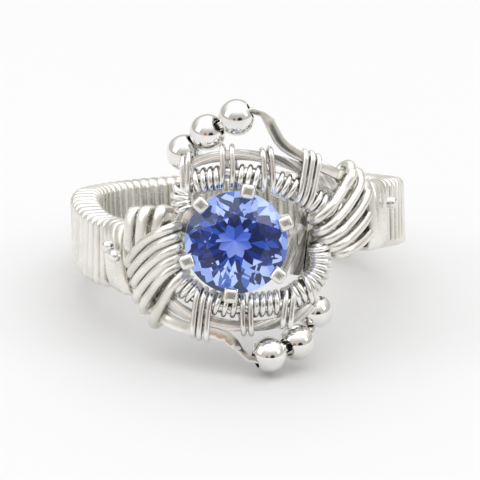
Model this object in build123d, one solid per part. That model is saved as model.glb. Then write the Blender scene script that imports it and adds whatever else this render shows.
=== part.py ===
from build123d import *
import os
from math import asin, atan2, ceil, cos, degrees, hypot, pi, radians, sin, tan

# A wire-wrapped ring with a round blue stone, millimetres.
# It is modelled with the finger's axis along Z and the stone facing -Y, and is then laid on its
# side as it rests: +Z up, the stone looking forward and up, the floor at Z = 0.

# Band
finger_diameter = 19.4
core_wire = 0.70
inner_wire = 0.80
wire_gap = 0.04
wrap_width = 0.60
wrap_thick = 0.50
wrap_rim = 0.36
wrap_pitch = 0.83
shank_steps = 30
left_drop = 1.5
right_rise = 0.45
drift_span = 55.0

# Head: the wires leave the band and bulge forward over a dome
dome_rise = 2.3
swirl_radius = 4.5
wire_step = 0.7

# Stone and its setting
stone_diameter = 7.0
stone_left = 1.22
stone_low = 0.38
girdle_over_dome = 1.0
girdle_height = 0.2
girdle_sides = 48
table_share = 0.57
crown_angle = 34.5
girdle_facet_share = 1.2
pavilion_angle = 41.0
lower_facet_share = 1.03
stone_gap = 0.03
prong_angles = [20.0, 76.0, 131.0, 198.0, 261.0, 320.0]
prong_width = 0.90
prong_thick = 0.48
prong_reach = 0.40
prong_cap = 0.45
basket_depth = 3.35
basket_foot = 2.0
basket_wire = 0.55
seat_wire = 0.40

# Beads
bead_diameter = 2.5
bead_flat = 1.4
bead_hole = 1.10
bead_wire = 0.46

# Fine wire wound on the inner wire, and the long turns that bind the other wires to it
coil_wire = 0.28
coil_gap = 0.03
coil_clear = 0.11
coil_pitch = 0.455

# Wraps at the shoulders
shoulder_width = 0.45
shoulder_thick = 0.38
shoulder_gap = 0.13
hold_gap = 0.05
turn_opening = 0.15
upright_width = 0.45
collar_width = 0.72
knob_diameter = 0.85
knob_length = 0.55

# How far it leans to its left as it rests
lean_left = 2.1

core_radius = finger_diameter / 2 + wrap_thick + wire_gap + inner_wire / 2
inner_spacing = (core_wire + inner_wire) / 2 + wire_gap
core_spacing = core_wire + wire_gap
band_half = inner_spacing + core_spacing + core_wire / 2
dome_radius = core_radius + dome_rise
girdle_radius = dome_radius + girdle_over_dome
swirl_angle = degrees(swirl_radius / dome_radius)
dome_flat = 1.104 * swirl_angle
dome_foot = 3.011 * swirl_angle
shank_end = 2.71 * swirl_angle
right_wraps_end = 2.961 * swirl_angle
left_wraps_end = 2.941 * swirl_angle
stone_radius = stone_diameter / 2

# Routes of the wires over the head, from the free end to the band.
# Each row: around and up as shares of the swirl's radius, lift as a share of the wire's width.
upper_outer_rows = [
    (-1.13, 1.22, -2.0), (-0.66, 1.57, -1.1), (-0.19, 1.79, 0.0), (0.03, 1.875, 0.0), (0.20, 1.84, 0.0),
    (0.34, 1.67, 0.0), (0.45, 1.43, 0.0), (0.60, 1.27, 0.0), (0.80, 1.155, 0.0), (1.11, 0.98, 0.0),
    (1.33, 0.87, 0.0), (1.56, 0.765, 0.0), (1.85, 0.65, 0.0), (2.15, 0.53, 0.0), (2.45, 0.436, 0.0),
]
upper_middle_rows = [
    (-0.88, 1.11, 0.0), (-0.66, 1.18, 0.0), (-0.40, 1.215, 0.0), (-0.08, 1.22, 0.0), (0.22, 1.165, 0.0),
    (0.50, 1.085, 0.0), (0.80, 0.955, 0.0), (1.08, 0.80, 0.0), (1.38, 0.62, 0.0), (1.65, 0.48, 0.0),
    (1.95, 0.37, 0.0), (2.20, 0.315, 0.0), (2.45, 0.273, 0.0),
]
upper_inner_rows = [
    (-1.00, 0.40, 0.0), (-1.065, 0.57, 0.0), (-1.03, 0.73, 0.0), (-0.88, 0.855, 0.0),
    (-0.62, 0.925, 0.0), (-0.35, 0.95, 0.0), (-0.05, 0.945, 0.0), (0.24, 0.89, 0.0), (0.50, 0.80, 0.0),
    (0.74, 0.68, 0.0), (1.00, 0.53, 0.0), (1.27, 0.37, 0.0), (1.50, 0.26, 0.0), (1.80, 0.175, 0.0),
    (2.10, 0.125, 0.0), (2.45, 0.10, 0.0),
]
lower_outer_rows = [
    (1.10, -1.23, -2.0), (0.70, -1.70, -1.2), (0.20, -1.83, 0.0), (0.02, -1.91, 0.0), (-0.15, -1.86, 0.0),
    (-0.30, -1.68, 0.0), (-0.45, -1.535, 0.0), (-0.70, -1.455, 0.0), (-1.08, -1.38, 0.0), (-1.33, -1.29, 0.0),
    (-1.56, -1.14, 0.0), (-1.80, -0.93, 0.0), (-2.10, -0.76, 0.0), (-2.45, -0.67, 0.0),
]
lower_middle_rows = [
    (0.88, -1.135, 0.0), (0.70, -1.24, 0.0), (0.48, -1.315, 0.0), (0.22, -1.37, 0.0), (-0.08, -1.385, 0.0),
    (-0.38, -1.365, 0.0), (-0.68, -1.29, 0.0), (-1.00, -1.19, 0.0), (-1.24, -1.06, 0.0), (-1.44, -0.91, 0.0),
    (-1.70, -0.71, 0.0), (-2.05, -0.58, 0.0), (-2.45, -0.507, 0.0),
]
lower_inner_rows = [
    (1.01, -0.19, 0.0), (1.055, -0.37, 0.0), (1.05, -0.56, 0.0), (0.96, -0.76, 0.0), (0.79, -0.91, 0.0),
    (0.52, -1.05, 0.0), (0.20, -1.11, 0.0), (-0.12, -1.12, 0.0), (-0.44, -1.10, 0.0), (-0.74, -1.02, 0.0),
    (-1.00, -0.87, 0.0), (-1.22, -0.70, 0.0), (-1.45, -0.55, 0.0), (-1.75, -0.44, 0.0), (-2.10, -0.39, 0.0),
    (-2.45, -0.333, 0.0),
]

# Two wires of each shoulder dive and pass behind the setting instead
right_brace_rows = [
    (0.77, -0.68, -2.1), (0.81, -0.45, -2.1), (0.845, -0.23, -2.1), (0.875, -0.02, -2.1), (0.92, 0.16, -2.1),
    (1.01, 0.28, -2.1), (1.14, 0.32, -2.1), (1.28, 0.28, -2.1), (1.42, 0.19, -1.9), (1.53, 0.11, -1.5),
    (1.64, 0.05, -1.0), (1.76, 0.01, -0.45), (1.90, -0.025, -0.1), (2.05, -0.05, 0.0), (2.25, -0.067, 0.0),
    (2.45, -0.075, 0.0),
]
right_brace_outer_rows = [
    (0.965, -0.66, -2.1), (1.01, -0.42, -2.1), (1.05, -0.20, -2.1), (1.09, -0.04, -2.1), (1.165, 0.05, -2.1),
    (1.26, 0.03, -2.1), (1.36, -0.06, -2.0), (1.46, -0.145, -1.7), (1.57, -0.21, -1.25), (1.70, -0.242, -0.7),
    (1.83, -0.245, -0.3), (2.00, -0.24, 0.0), (2.20, -0.24, 0.0), (2.45, -0.24, 0.0),
]
left_brace_rows = [
    (-0.86, 0.62, -2.1), (-0.98, 0.40, -2.1), (-1.10, 0.20, -2.1), (-1.18, 0.07, -2.1), (-1.27, 0.02, -2.1),
    (-1.36, 0.04, -2.0), (-1.46, 0.07, -1.85), (-1.54, 0.085, -1.6), (-1.62, 0.09, -1.0),
    (-1.71, 0.085, -0.4), (-1.82, 0.065, 0.0), (-2.05, 0.0, 0.0), (-2.25, -0.082, 0.0), (-2.45, -0.155, 0.0),
]
left_brace_outer_rows = [
    (-1.00, 0.84, -2.1), (-1.14, 0.62, -2.1), (-1.26, 0.42, -2.1), (-1.36, 0.30, -1.95), (-1.48, 0.265, -1.45),
    (-1.62, 0.265, -0.9), (-1.80, 0.245, -0.35), (-2.00, 0.195, 0.0), (-2.22, 0.115, 0.0), (-2.45, 0.016, 0.0),
]
front_brace_rows = [
    (0.84, 0.10, -0.9), (0.74, -0.07, -0.9), (0.64, -0.25, -0.9), (0.54, -0.43, -0.9), (0.45, -0.60, -0.9),
]

# Long turns of the fine wire: how far from the inner wire's free end a group stands, how many turns
# it has and how many of the square wires they hold. Those that hold none are open hooks. Plain turns
# fill the way between, from where the winding starts to where it ends. Shares of the swirl's radius.
upper_groups = [(0.44, 2, 0), (1.07, 2, 1), (1.685, 2, 1), (2.31, 3, 2)]
upper_winding = (0.058, 2.76)
lower_groups = [(0.71, 2, 0), (1.17, 2, 1), (1.76, 2, 1), (2.44, 3, 2)]
lower_winding = (0.1, 2.84)
hook_reach = 1.25

# Slanted wraps of a shoulder, around and up as shares of the swirl's radius: the end beside the
# stone, the bend, and the end beyond the bundle. Closed turns go right round the bundle.
left_closed_rows = [
    (-1.12, -0.27, -1.77, -0.80, -2.01, -1.07), (-1.13, -0.42, -1.62, -0.97, -1.85, -1.18),
    (-1.03, -0.56, -1.46, -1.10, -1.63, -1.38),
]
left_tucked_rows = [
    (-1.17, 0.17, -2.12, -0.38, -2.30, -0.56), (-1.13, 0.02, -2.02, -0.53, -2.26, -0.70),
    (-1.10, -0.13, -1.91, -0.67, -2.22, -0.82),
]
right_closed_rows = [
    (0.97, 0.17, 1.52, 0.72, 1.72, 0.96), (1.01, 0.03, 1.80, 0.58, 2.00, 0.83),
]
right_tucked_rows = [
    (1.07, -0.11, 2.12, 0.40, 2.30, 0.55), (1.21, -0.21, 2.36, 0.24, 2.56, 0.40),
    (1.335, -0.355, 2.62, 0.04, 2.80, 0.14),
]
# Upright wrap round the diving wires, and broad collars over the tucked ends: around and up
left_upright_row = (-1.78, 0.15)
right_upright_row = (1.385, -0.175)
left_collar_rows = [(-2.67, -0.33), (-2.36, -0.34)]
right_collar_rows = [(2.20, 0.13), (2.46, 0.10), (2.72, 0.10)]
# Cut ends of the wrap wire: around, up and layers of wrap below
left_knob_rows = [(-2.40, -0.17, 2), (-2.20, -0.30, 2)]
right_knob_rows = [(2.62, 0.30, 2)]


def shell_radius(angle):
    """Radius of the wires' middle about the finger, at an angle in degrees from the front."""
    share = (dome_foot - abs(angle)) / (dome_foot - dome_flat)
    share = min(max(share, 0.0), 1.0)
    return core_radius + dome_rise * (0.5 - 0.5 * cos(pi * share))


def drift(angle):
    """Rise of the band's middle near the shoulders, where the wires turn toward the head."""
    share = 1 - (abs(angle) - shank_end) / drift_span
    share = min(max(share, 0.0), 1.0)
    reach = right_rise if angle > 0 else -left_drop
    return reach * share * share * (3 - 2 * share)


def around_point(angle, height, lift=0.0):
    radius, turn = shell_radius(angle) + lift, radians(angle)
    return Vector(radius * sin(turn), -radius * cos(turn), height)


def spot(around, up, lift=0.0):
    """Point over the head: around and up are shares of the swirl's radius, lift is a length."""
    return around_point(degrees(around * swirl_radius / dome_radius), up * swirl_radius, lift)


def outward(point):
    return Vector(point.X, point.Y, 0).normalized()


def route(right_rows, left_rows, level):
    """Line of a wire from its free end at the right, round the back of the band, to the left."""
    points = [spot(around, up, lift * core_wire) for around, up, lift in right_rows]
    for k in range(shank_steps // 2 + 1):
        angle = shank_end + (360 - 2 * shank_end) * k / (shank_steps // 2)
        signed = angle if angle <= 180 else angle - 360
        points.append(around_point(signed, level + drift(signed)))
    points += [spot(around, up, lift * core_wire) for around, up, lift in reversed(left_rows)]
    return Spline(*points)


def frame_on(line, length):
    """Plane across a line at a length along it, its X along the head's surface, its Y outward."""
    share = min(max(length / line.length, 0.0), 1.0)
    point, along = line.position_at(share), line.tangent_at(share)
    across = outward(point).cross(along).normalized()
    return Plane(origin=point, x_dir=across, z_dir=along)


def wire_along(line, outline):
    """Solid wire: outline(length) is the section at each step, and straight walls join them."""
    steps = ceil(line.length / wire_step)
    lengths = [line.length * k / steps for k in range(steps + 1)]
    return loft([frame_on(line, length) * outline(length) for length in lengths], ruled=True)


def square_outline(length):
    return Rectangle(core_wire, core_wire)


def beaded_outline(full_from, full_to):
    """Section of a square wire that is filed down where it carries its beads."""
    def outline(length):
        width = core_wire if full_from < length < full_to else bead_wire
        return Rectangle(width, width)
    return outline


def round_outline(length):
    return RegularPolygon(inner_wire / 2, 10)


def length_near(line, point):
    """Length along the line at its nearest place to a point."""
    steps = ceil(line.length / (core_wire / 4))
    nearest = min(range(steps + 1), key=lambda k: (line.position_at(k / steps) - point).length)
    return line.length * nearest / steps


def bead_on(line, length):
    """Round bead with two flats, drilled for the wire."""
    flat_half = (bead_diameter**2 - bead_flat**2) ** 0.5 / 2
    ball = Sphere(bead_diameter / 2) & Box(bead_diameter, bead_diameter, 2 * flat_half)
    before, after = (line.position_at((length + way * flat_half) / line.length) for way in (-1, 1))
    middle = (before + after + line.position_at(length / line.length) * 2) / 4
    place = Plane(origin=middle, z_dir=after - before)
    return place * (ball - Cylinder(bead_hole / 2, bead_diameter))


def flat_loop(inner_width, inner_thick, rim, face, section_width):
    """Closed turn of half-round wire: rim is its thickness past the ends, face that of its sides."""
    corner = 3 * wire_gap
    hollow = RectangleRounded(inner_width, inner_thick, corner)
    outer = RectangleRounded(inner_width + 2 * rim, inner_thick + 2 * face, corner + min(rim, face))
    body = extrude(outer, section_width / 2, both=True)
    rims = [edge for edge in body.edges() if abs(edge.center().Z) > section_width / 4]
    body = fillet(rims, min(rim, face, section_width / 2) * 0.8)
    return body - extrude(hollow, section_width, both=True)


def binding_turn(reach):
    """Long turn of fine wire round the inner wire and the wires beside it, out along Y."""
    half = inner_wire / 2 + coil_gap + coil_wire / 2
    far = reach + core_wire / 2 + 3 * coil_gap + coil_wire / 2
    corner = half * 0.6
    with BuildLine() as path:
        left = Line((-half, 0), (-half, far - corner))
        left_bend = TangentArc(left @ 1, (corner - half, far), tangent=left % 1)
        top = Line(left_bend @ 1, (half - corner, far))
        right_bend = TangentArc(top @ 1, (half, far - corner), tangent=top % 1)
        right = Line(right_bend @ 1, (half, 0))
        TangentArc(right @ 1, (-half, 0), tangent=right % 1)
    start = Plane(origin=path.wire() @ 0, z_dir=path.wire() % 0)
    return sweep(start * Circle(coil_wire / 2), path=path.wire())


def open_hook():
    """Long turn left open behind: it comes round the inner wire and ends over the last bead."""
    half = inner_wire / 2 + coil_gap + coil_wire / 2
    with BuildLine() as path:
        front = Line((half, hook_reach), (half, 0))
        round_end = TangentArc(front @ 1, (-half, 0), tangent=front % 1)
        Line(round_end @ 1, (-half, coil_wire / 2))
    start = Plane(origin=path.wire() @ 0, z_dir=path.wire() % 0)
    return sweep(start * Circle(coil_wire / 2), path=path.wire())


def turn_on(line, length, side):
    """Plane across the line for a long turn: X outward, Y toward the wires that the turn holds."""
    place = frame_on(line, length)
    return Plane(origin=place.origin, x_dir=place.y_dir, z_dir=place.z_dir * -side)


def crossing(line, place):
    """Where a line crosses a plane, as its X and Y there, near the plane's origin."""
    def off(length):
        gap = line.position_at(min(max(length / line.length, 0), 1)) - place.origin
        return 10 * abs(gap.dot(place.z_dir)) + gap.length
    step = core_wire / 2
    best = min((step * k for k in range(int(line.length / step) + 1)), key=off)
    for finer in (step / 8, step / 64):
        best = min((best + finer * k for k in range(-8, 9)), key=off)
    gap = line.position_at(min(max(best / line.length, 0), 1)) - place.origin
    return gap.dot(place.x_dir), gap.dot(place.y_dir)


def next_turn(line, length, way):
    """Length of the next turn: turns keep clear of each other on the inner side of a bend."""
    side = inner_wire / 2 + coil_gap + coil_wire
    step = coil_pitch
    here = frame_on(line, length).z_dir
    while True:
        ahead = frame_on(line, length + way * step).z_dir
        if step - side * radians(here.get_angle(ahead)) >= coil_wire + coil_clear:
            return length + way * step
        step += coil_wire / 20


def plain_run(line, start, stop, way):
    """Lengths of the plain turns from a start to before a stop, spread to fill the way."""
    lengths, room = [start], next_turn(line, start, way)
    while (stop - next_turn(line, room, way)) * way >= 0:
        lengths.append(room)
        room = next_turn(line, room, way)
    spare = stop - room
    return [length + spare * k / len(lengths) for k, length in enumerate(lengths)]


def wind(line, free_end, way, groups, reach, held_lines, side):
    """Turns of the fine wire along the inner wire: plain ones, and long ones round the held wires."""
    plain, long = [], []
    turn = Torus(inner_wire / 2 + coil_gap + coil_wire / 2, coil_wire / 2)
    at = free_end + way * reach[0] * swirl_radius
    for centre, count, held in groups:
        first = free_end + way * (centre * swirl_radius - coil_pitch * (count - 1) / 2)
        plain += [frame_on(line, length) * turn for length in plain_run(line, at, first, way)]
        at = first
        for k in range(count):
            place = turn_on(line, at, side)
            if held:
                long.append(place * binding_turn(crossing(held_lines[held - 1], place)[1]))
            else:
                long.append(place * open_hook())
            at = next_turn(line, at, way)
    stop = free_end + way * reach[1] * swirl_radius
    plain += [frame_on(line, length) * turn for length in plain_run(line, at, stop, way)]
    return plain, long


def slanted_turn(row, closed):
    """Turn of half-round wire across the bundle, from beside the stone to beyond its far wire."""
    near_around, near_up, bend_around, bend_up, far_around, far_up = row
    rise = inner_wire / 2 + shoulder_gap + shoulder_thick / 2
    curl = (shoulder_thick + core_wire) * 0.22 / swirl_radius
    lean = hypot(bend_around - near_around, bend_up - near_up)
    step_around, step_up = (bend_around - near_around) / lean, (bend_up - near_up) / lean
    end_lean = hypot(far_around - bend_around, far_up - bend_up)
    end_around, end_up = (far_around - bend_around) / end_lean, (far_up - bend_up) / end_lean
    front = [
        (near_around, near_up, 0.0),
        (near_around + step_around * curl, near_up + step_up * curl, 0.72),
        (near_around + step_around * curl * 3, near_up + step_up * curl * 3, 1.0),
        ((near_around * 2 + bend_around) / 3, (near_up * 2 + bend_up) / 3, 1.0),
        ((near_around + bend_around * 2) / 3, (near_up + bend_up * 2) / 3, 1.0),
        (bend_around, bend_up, 1.0),
    ]
    if closed:
        front += [
            (far_around - end_around * curl, far_up - end_up * curl, 0.72),
            (far_around, far_up, 0.0),
            (far_around - end_around * curl, far_up - end_up * curl, -0.72),
            (bend_around, bend_up, -1.0),
        ]
        back = [
            ((near_around + bend_around) / 2, (near_up + bend_up) / 2, -1.0),
            (near_around + step_around * curl * 3, near_up + step_up * curl * 3, -1.0),
            (near_around + step_around * curl, near_up + step_up * curl, -0.72),
        ]
        line = Spline(*[spot(a, u, lift * rise) for a, u, lift in front + back], periodic=True)
        line = line.trim(0, 1 - turn_opening / line.length)
    else:
        curled = [
            (near_around + step_around * curl * 2, near_up + step_up * curl * 2, -0.85),
            (near_around + step_around * curl * 0.8, near_up + step_up * curl * 0.8, -0.6),
        ]
        line = Spline(*[spot(a, u, lift * rise) for a, u, lift in curled + front + [(far_around, far_up, 1.0)]])
    strand = spot(bend_around, bend_up) - spot(near_around, near_up)
    out = outward(spot((near_around + bend_around) / 2, (near_up + bend_up) / 2))
    return strand_along(line, out.cross(strand).normalized())


def strand_along(line, across):
    """Half-round strand along a line, its flat side toward the bundle; across is its width's way."""
    steps = ceil(line.length / (wire_step / 2))
    sections = []
    for k in range(steps + 1):
        point, along = line.position_at(k / steps), line.tangent_at(k / steps)
        flat = across - along * across.dot(along)
        sections.append(Plane(origin=point, x_dir=flat, z_dir=along) * strand_outline())
    return loft(sections, ruled=True)


def strand_outline():
    half, thick = shoulder_width / 2, shoulder_thick / 2
    corners = [(-1, -1), (1, -1), (1, 0), (0.7, 0.75), (0, 1), (-0.7, 0.75), (-1, 0)]
    return make_face(Polyline(*[(x * half, y * thick) for x, y in corners], close=True))


def holding_turn(lines, around, up, width, held_wire, raised=0.0):
    """Turn across some wires that pass near a place; raised is room for what lies over them."""
    place = frame_on(lines[0], length_near(lines[0], spot(around, up)))
    slices = [Plane(origin=place.origin + place.z_dir * width * share, x_dir=place.x_dir, z_dir=place.z_dir)
              for share in (-0.5, 0, 0.5)]
    across, out = zip(*[crossing(line, cut) for line in lines for cut in slices])
    side = held_wire / 2 + hold_gap
    middle = place.origin + place.x_dir * ((max(across) + min(across)) / 2)
    middle += place.y_dir * ((max(out) + min(out) + raised) / 2)
    turn = flat_loop(max(across) - min(across) + 2 * side, max(out) - min(out) + 2 * side + raised,
                     wrap_rim, shoulder_thick, width)
    return Plane(origin=middle, x_dir=place.x_dir, z_dir=place.z_dir) * turn


def shank_wraps():
    """Turns of half-round wire side by side all round the band."""
    turn = flat_loop(2 * (band_half + wire_gap), inner_wire + 2 * wire_gap, wrap_rim, wrap_thick, wrap_width)
    sweep_angle = 360 - right_wraps_end - left_wraps_end
    count = int(radians(sweep_angle) * (core_radius + core_wire / 2 + wrap_thick) / wrap_pitch)
    turns = []
    for k in range(count):
        angle = right_wraps_end + sweep_angle * k / (count - 1)
        signed = angle if angle <= 180 else angle - 360
        here = around_point(signed, drift(signed))
        before, after = (around_point(signed + d, drift(signed + d)) for d in (-1, 1))
        along = (after - before).normalized()
        turns.append(Plane(origin=here, x_dir=along.cross(outward(here)), z_dir=along) * turn)
    return turns


def knob_at(around, up, layers):
    """Cut end of a wrap's wire, standing on the wraps below it."""
    lift = inner_wire / 2 + hold_gap + layers * (shoulder_thick + shoulder_gap) + 2 * shoulder_gap
    base = spot(around, up, lift)
    pin = Cylinder(knob_diameter / 2, knob_length, align=(Align.CENTER, Align.CENTER, Align.MIN))
    pin = fillet(pin.edges().group_by(Axis.Z)[-1], knob_diameter * 0.35)
    return Plane(origin=base, z_dir=outward(base)) * pin


def cut_stone():
    """Round brilliant with its girdle at Z = 0 and its table up, each facet a plane cut."""
    crown = stone_radius * (1 - table_share) * tan(radians(crown_angle)) + girdle_height / 2
    pavilion = stone_radius * tan(radians(pavilion_angle)) + girdle_height / 2
    gem = Pos(0, 0, (crown - pavilion) / 2) * extrude(
        RegularPolygon(stone_radius, girdle_sides), (crown + pavilion) / 2, both=True)
    table_edge = stone_radius * table_share * cos(pi / 8)
    # Facets: how many, turned by a share of their spacing, angle, radius and height that they pass
    facets = [
        (8, 0.0, crown_angle, stone_radius, girdle_height / 2),
        (8, 0.5, crown_angle * 0.62, table_edge, crown),
        (16, 0.5, crown_angle * girdle_facet_share, stone_radius, girdle_height / 2),
        (8, 0.0, -pavilion_angle, stone_radius, -girdle_height / 2),
        (16, 0.5, -pavilion_angle * lower_facet_share, stone_radius, -girdle_height / 2),
    ]
    for count, turned, angle, radius, height in facets:
        for k in range(count):
            way = 2 * pi * (k + turned) / count
            tilt = radians(abs(angle))
            normal = Vector(sin(tilt) * cos(way), sin(tilt) * sin(way), cos(tilt) * (1 if angle > 0 else -1))
            touch = Vector(radius * cos(way), radius * sin(way), height)
            gem = split(gem, bisect_by=Plane(origin=touch, z_dir=normal), keep=Keep.BOTTOM)
    return gem


def setting():
    """Basket with three rings and six prongs, all soldered into one piece."""
    slope = tan(radians(crown_angle * girdle_facet_share))
    inner = stone_radius + stone_gap
    grip = girdle_height / 2 + prong_reach * slope + stone_gap * 2
    foot_outer = basket_foot + prong_thick
    profile = make_face(Polyline(
        (basket_foot, -basket_depth), (inner, -girdle_height), (inner, girdle_height / 2 + stone_gap),
        (stone_radius - prong_reach, grip), (stone_radius - prong_reach, grip + prong_cap * 0.7),
        (stone_radius - prong_reach * 0.6, grip + prong_cap), (inner + prong_thick * 0.5, grip + prong_cap),
        (inner + prong_thick, grip + prong_cap * 0.4), (inner + prong_thick, -girdle_height),
        (foot_outer, -basket_depth), close=True,
    ))
    prong = extrude(Plane.XZ * profile, prong_width / 2, both=True)
    seat_radius, tilt = stone_radius - seat_wire * 0.75, radians(pavilion_angle * lower_facet_share)
    under = (stone_radius - seat_radius * cos(pi / 16)) * tan(tilt) + girdle_height / 2
    body = prong_ring(seat_wire, under + (seat_wire / 2 + stone_gap) / cos(tilt), seat_radius)
    for depth_share in (0.42, 0.92):
        depth = basket_depth * depth_share
        radius = foot_outer + (inner - basket_foot) * (1 - depth / basket_depth) - prong_thick / 2
        body += prong_ring(basket_wire, depth, radius)
    for angle in prong_angles:
        body += Rot(0, 0, angle) * prong
    return body


def prong_ring(wire, depth, radius):
    return Pos(0, 0, -depth) * Torus(radius, wire / 2)


def bead_row(name, line, rows):
    """Three beads on the outer wire's free end; each is a node of its own."""
    for k, (around, up, lift) in enumerate(rows[:3]):
        place = length_near(line, spot(around, up, lift * core_wire))
        nodes[name + "_bead_" + str(3 - k)] = bead_on(line, place)


nodes = {}
outer_line = route(upper_outer_rows, left_brace_outer_rows, inner_spacing + core_spacing)
middle_line = route(upper_middle_rows, left_brace_rows, inner_spacing)
inner_line = route(upper_inner_rows, lower_inner_rows, 0.0)
lower_middle_line = route(right_brace_rows, lower_middle_rows, -inner_spacing)
lower_outer_line = route(right_brace_outer_rows, lower_outer_rows, -inner_spacing - core_spacing)
front_brace_line = Spline(*[spot(around, up, lift * core_wire) for around, up, lift in front_brace_rows])

bead_row("upper", outer_line, upper_outer_rows)
bead_row("lower", lower_outer_line, lower_outer_rows)
bead_room = bead_diameter / 2 + 1.5 * wire_step
upper_bare = length_near(outer_line, spot(*upper_outer_rows[2][:2])) + bead_room
lower_bare = length_near(lower_outer_line, spot(*lower_outer_rows[2][:2])) - bead_room
nodes["upper_outer_wire"] = wire_along(outer_line, beaded_outline(upper_bare, outer_line.length + 1))
nodes["upper_middle_wire"] = wire_along(middle_line, square_outline)
nodes["inner_wire"] = wire_along(inner_line, round_outline)
nodes["lower_middle_wire"] = wire_along(lower_middle_line, square_outline)
nodes["lower_outer_wire"] = wire_along(lower_outer_line, beaded_outline(-1, lower_bare))
nodes["front_brace"] = wire_along(front_brace_line, square_outline)

upper_plain, upper_long = wind(
    inner_line, 0, 1, upper_groups, upper_winding, [middle_line, outer_line], 1)
lower_plain, lower_long = wind(
    inner_line, inner_line.length, -1, lower_groups, lower_winding, [lower_middle_line, lower_outer_line], -1)
nodes["upper_coil"] = Compound(children=upper_plain)
nodes["upper_binding"] = Compound(children=upper_long)
nodes["lower_coil"] = Compound(children=lower_plain)
nodes["lower_binding"] = Compound(children=lower_long)

nodes["shank_wrap"] = Compound(children=shank_wraps())
nodes["left_slanted_wrap"] = Compound(children=[slanted_turn(row, True) for row in left_closed_rows]
                                      + [slanted_turn(row, False) for row in left_tucked_rows])
nodes["right_slanted_wrap"] = Compound(children=[slanted_turn(row, True) for row in right_closed_rows]
                                       + [slanted_turn(row, False) for row in right_tucked_rows])
bundle = [inner_line, middle_line, outer_line, lower_middle_line, lower_outer_line]
tuck_room = shoulder_gap + shoulder_thick
nodes["left_upright_wrap"] = holding_turn([middle_line, outer_line], *left_upright_row, upright_width, core_wire)
nodes["right_upright_wrap"] = holding_turn([lower_outer_line], *right_upright_row, upright_width, core_wire)
for side, rows in (("left", left_collar_rows), ("right", right_collar_rows)):
    nodes[side + "_collar"] = Compound(
        children=[holding_turn(bundle, *row, collar_width, inner_wire, tuck_room) for row in rows])
for side, rows in (("left", left_knob_rows), ("right", right_knob_rows)):
    for k, row in enumerate(rows):
        nodes[side + "_wrap_end_" + str(k + 1)] = knob_at(*row)

stone_place = Plane(origin=(-stone_left, -girdle_radius, -stone_low), x_dir=(1, 0, 0), z_dir=(0, -1, 0))
nodes["stone"] = stone_place * cut_stone()
nodes["setting"] = stone_place * setting()

# At rest the lowest bead and the band's back edge both touch the floor
low_bead = spot(*lower_outer_rows[2][:2])
band_corner = (core_wire + wrap_thick) / 2 + wire_gap
band_low = inner_spacing + core_spacing
span, rise = core_radius - low_bead.Y, -band_low - low_bead.Z
lean_back = degrees(atan2(rise, span) + asin((bead_diameter / 2 - band_corner) / hypot(span, rise)))
rest = Rot(-lean_back, 0, 0) * Rot(0, -lean_left, 0)
nodes = {name: rest * shape for name, shape in nodes.items()}
boxes = [shape.bounding_box() for shape in nodes.values()]
middle_x = (min(box.min.X for box in boxes) + max(box.max.X for box in boxes)) / 2
middle_y = (min(box.min.Y for box in boxes) + max(box.max.Y for box in boxes)) / 2
settle = Pos(-middle_x, -middle_y, -min(box.min.Z for box in boxes))

os.makedirs("parts", exist_ok=True)
for name, shape in nodes.items():
    export_step(settle * shape, "parts/" + name + ".step")
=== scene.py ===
# Wire-wrapped ring with a round blue stone, dressed around its CAD frame.
import math

import bpy
import numpy
from mathutils import Euler, Matrix, Vector


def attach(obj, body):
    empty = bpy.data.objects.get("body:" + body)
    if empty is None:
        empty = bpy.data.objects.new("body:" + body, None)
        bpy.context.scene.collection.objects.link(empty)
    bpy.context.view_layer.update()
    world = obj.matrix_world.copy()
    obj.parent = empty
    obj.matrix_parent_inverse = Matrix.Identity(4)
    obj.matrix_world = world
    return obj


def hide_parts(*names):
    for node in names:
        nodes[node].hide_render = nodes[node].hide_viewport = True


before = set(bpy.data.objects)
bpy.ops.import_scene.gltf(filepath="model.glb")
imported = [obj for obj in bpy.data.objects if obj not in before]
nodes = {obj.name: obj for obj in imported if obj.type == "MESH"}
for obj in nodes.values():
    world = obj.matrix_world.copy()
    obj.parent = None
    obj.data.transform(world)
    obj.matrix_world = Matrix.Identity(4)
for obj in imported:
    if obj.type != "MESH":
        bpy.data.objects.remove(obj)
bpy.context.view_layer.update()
mm = 0.001
print("CAD frame loaded")


def newGroup(name, inputs, outputs):
    group = bpy.data.node_groups.new(name, "ShaderNodeTree")
    for label, value in inputs.items():
        socket = group.interface.new_socket(name=label, in_out="INPUT", socket_type="NodeSocketFloat")
        socket.default_value = value
    for label, kind in outputs.items():
        group.interface.new_socket(name=label, in_out="OUTPUT", socket_type=kind)
    return group, group.nodes.new("NodeGroupInput"), group.nodes.new("NodeGroupOutput")


def placeGroup(tree, group, values):
    node = tree.nodes.new("ShaderNodeGroup")
    node.node_tree = group
    for label, value in values.items():
        node.inputs[label].default_value = value
    return node


def mathNode(tree, kind, *values):
    node = tree.nodes.new("ShaderNodeMath")
    node.operation = kind
    for slot, value in enumerate(values):
        if hasattr(value, "links"):
            tree.links.new(value, node.inputs[slot])
        else:
            node.inputs[slot].default_value = value
    return node.outputs[0]


def vectorNode(tree, kind, first, second=None):
    node = tree.nodes.new("ShaderNodeVectorMath")
    node.operation = kind
    tree.links.new(first, node.inputs[0])
    if second is not None:
        node.inputs[1].default_value = second
    return node.outputs["Value" if kind in ("DOT_PRODUCT", "LENGTH") else "Vector"]


def noiseNode(tree, way, place, scale, detail=2.0):
    noise = tree.nodes.new("ShaderNodeTexNoise")
    noise.noise_dimensions = way
    noise.inputs["Scale"].default_value = scale
    noise.inputs["Detail"].default_value = detail
    tree.links.new(place, noise.inputs["W" if way == "1D" else "Vector"])
    return noise.outputs["Fac"]


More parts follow.
